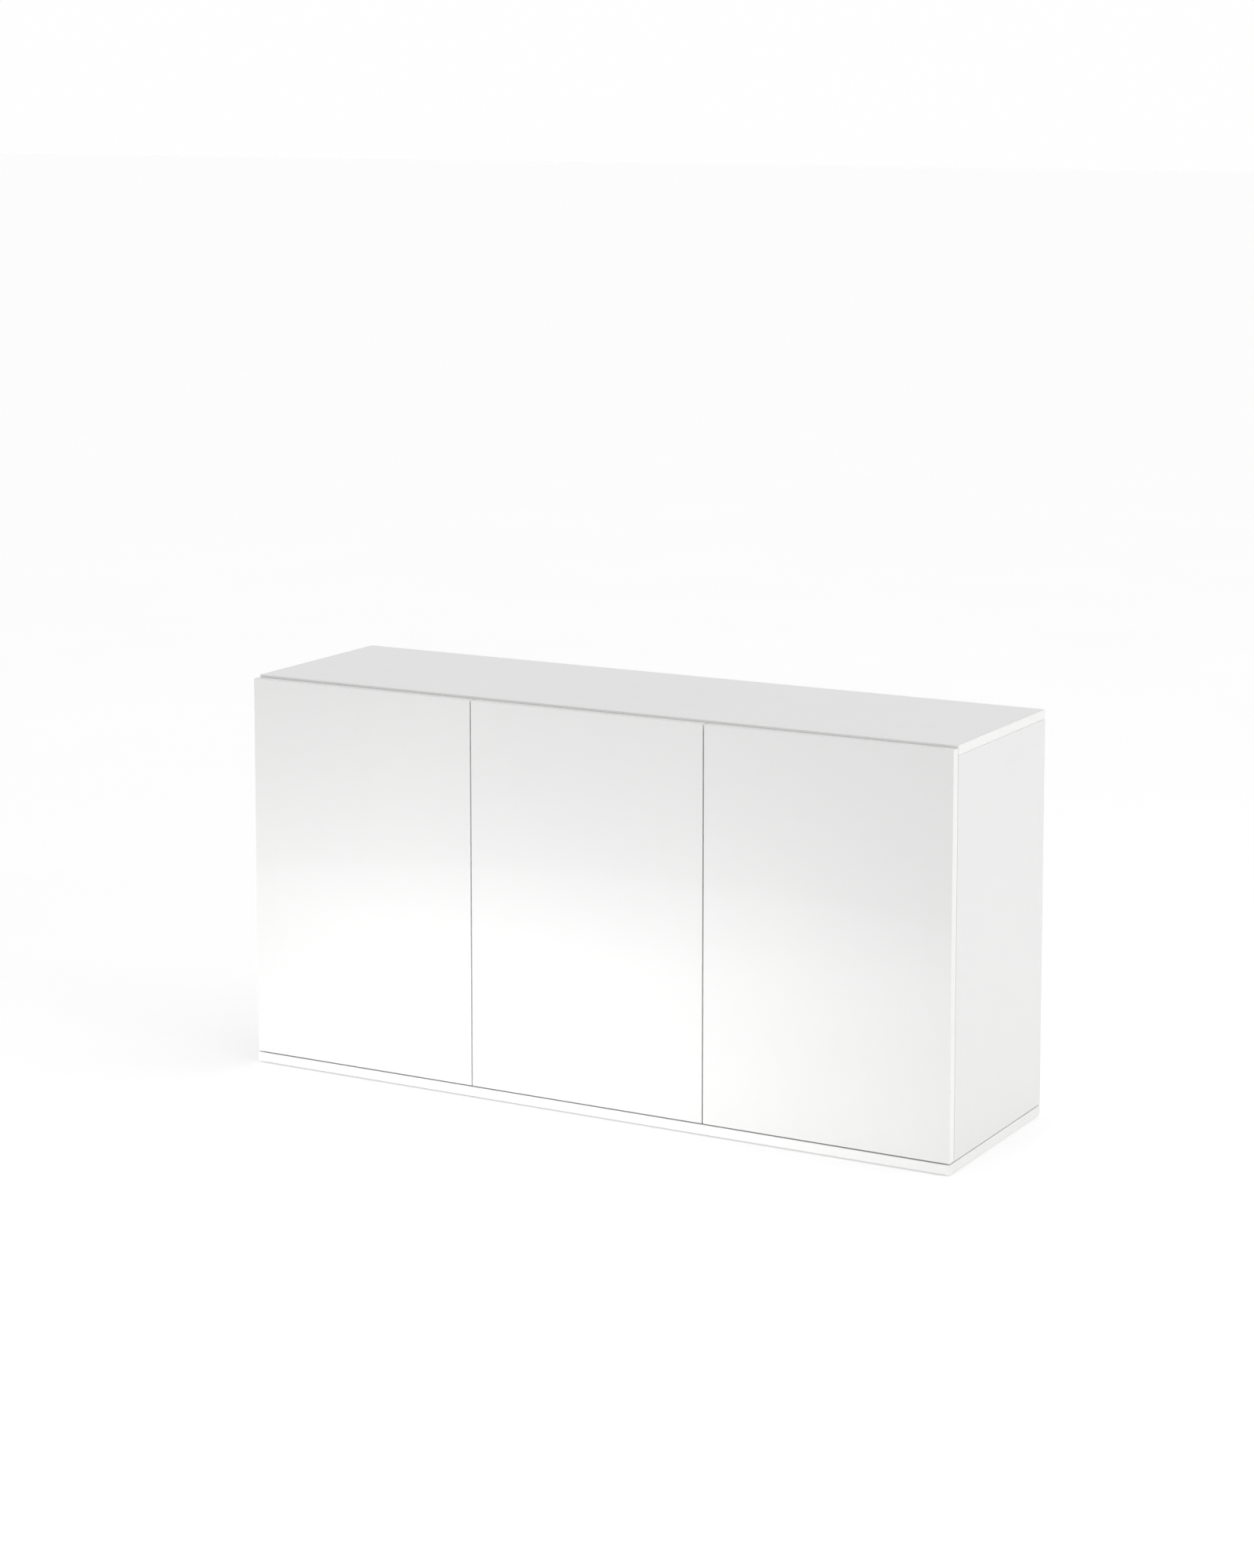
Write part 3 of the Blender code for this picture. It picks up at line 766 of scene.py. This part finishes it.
def light_only(lights, objects, state):
    """Make lights reach only the given objects (INCLUDE), or all but them (EXCLUDE)."""
    linked = bpy.data.collections.new(lights[0].name + "_links")
    for obj in objects:
        linked.objects.link(obj)
    for entry in linked.collection_objects:
        entry.light_linking.link_state = state
    for light in lights:
        light.light_linking.receiver_collection = linked


def add_lights(floor):
    """A softbox on the right, a low strip that brightens the foot of the doors, and the reflected arcs."""
    add_area_light("side_softbox", SOFTBOX_PLACE, SOFTBOX_AIM, SOFTBOX_POWER, SOFTBOX_SIZE)
    glow = add_area_light("low_glow", GLOW_PLACE, GLOW_AIM, GLOW_POWER, *GLOW_SIZE)
    light_only([glow], [floor], "EXCLUDE")
    arcs = [add_floor_arc(number, radius) for number, radius in enumerate(ARC_RADII, start=1)]
    light_only(arcs, [bpy.data.objects["visible_door_" + door] for door in DOORS], "INCLUDE")


def add_sky():
    """A white surround, bright low down and overhead, and as pale as the floor where the camera sees it."""
    world = bpy.data.worlds.new("studio")
    world.use_nodes = True
    nodes = world.node_tree.nodes
    links = world.node_tree.links
    height = nodes.new("ShaderNodeSeparateXYZ")
    links.new(nodes.new("ShaderNodeTexCoord").outputs["Generated"], height.inputs["Vector"])
    bands = nodes.new("ShaderNodeValToRGB")
    stops = bands.color_ramp.elements
    while len(stops) < len(SKY_BANDS):
        stops.new(0.5)
    for stop, (position, grey) in zip(stops, SKY_BANDS):
        stop.position = position
        stop.color = (grey, grey, grey, 1)
    links.new(height.outputs["Z"], bands.inputs["Fac"])
    seen = nodes.new("ShaderNodeMix")
    links.new(nodes.new("ShaderNodeLightPath").outputs["Is Camera Ray"], seen.inputs["Factor"])
    links.new(bands.outputs["Color"], seen.inputs["A"])
    seen.inputs["B"].default_value = SKY_SEEN
    background = nodes["Background"]
    background.inputs["Color"].default_value = (1, 1, 1, 1)
    links.new(seen.outputs["Result"], background.inputs["Strength"])
    bpy.context.scene.world = world


def add_floor():
    """A wide flat floor at z = 0."""
    bm = bmesh.new()
    bmesh.ops.create_grid(bm, x_segments=1, y_segments=1, size=FLOOR_REACH)
    mesh = bpy.data.meshes.new("floor")
    bm.to_mesh(mesh)
    bm.free()
    mesh.materials.append(floor_material())
    floor = new_object("floor", mesh)
    return floor


def add_camera():
    """The camera at the photograph's viewing angle."""
    camera = bpy.data.cameras.new("camera")
    camera.sensor_width = SENSOR_MM
    camera.lens = LENS_MM
    camera.shift_y = SHIFT_Y
    camera.clip_end = VIEW_REACH
    obj = new_object("camera", camera)
    obj.location = CAMERA_PLACE
    obj.rotation_euler = (radians(90 - CAMERA_PITCH), 0, radians(CAMERA_YAW))
    bpy.context.scene.camera = obj
    bpy.context.scene.view_settings.view_transform = "Standard"


add_boards()
add_hinge_covers()
add_hinge_screws()
add_shelf_pins()
add_cam_caps()
add_latches()
add_back_screws()
dress_cad_nodes()
add_sky()
add_lights(add_floor())
add_camera()
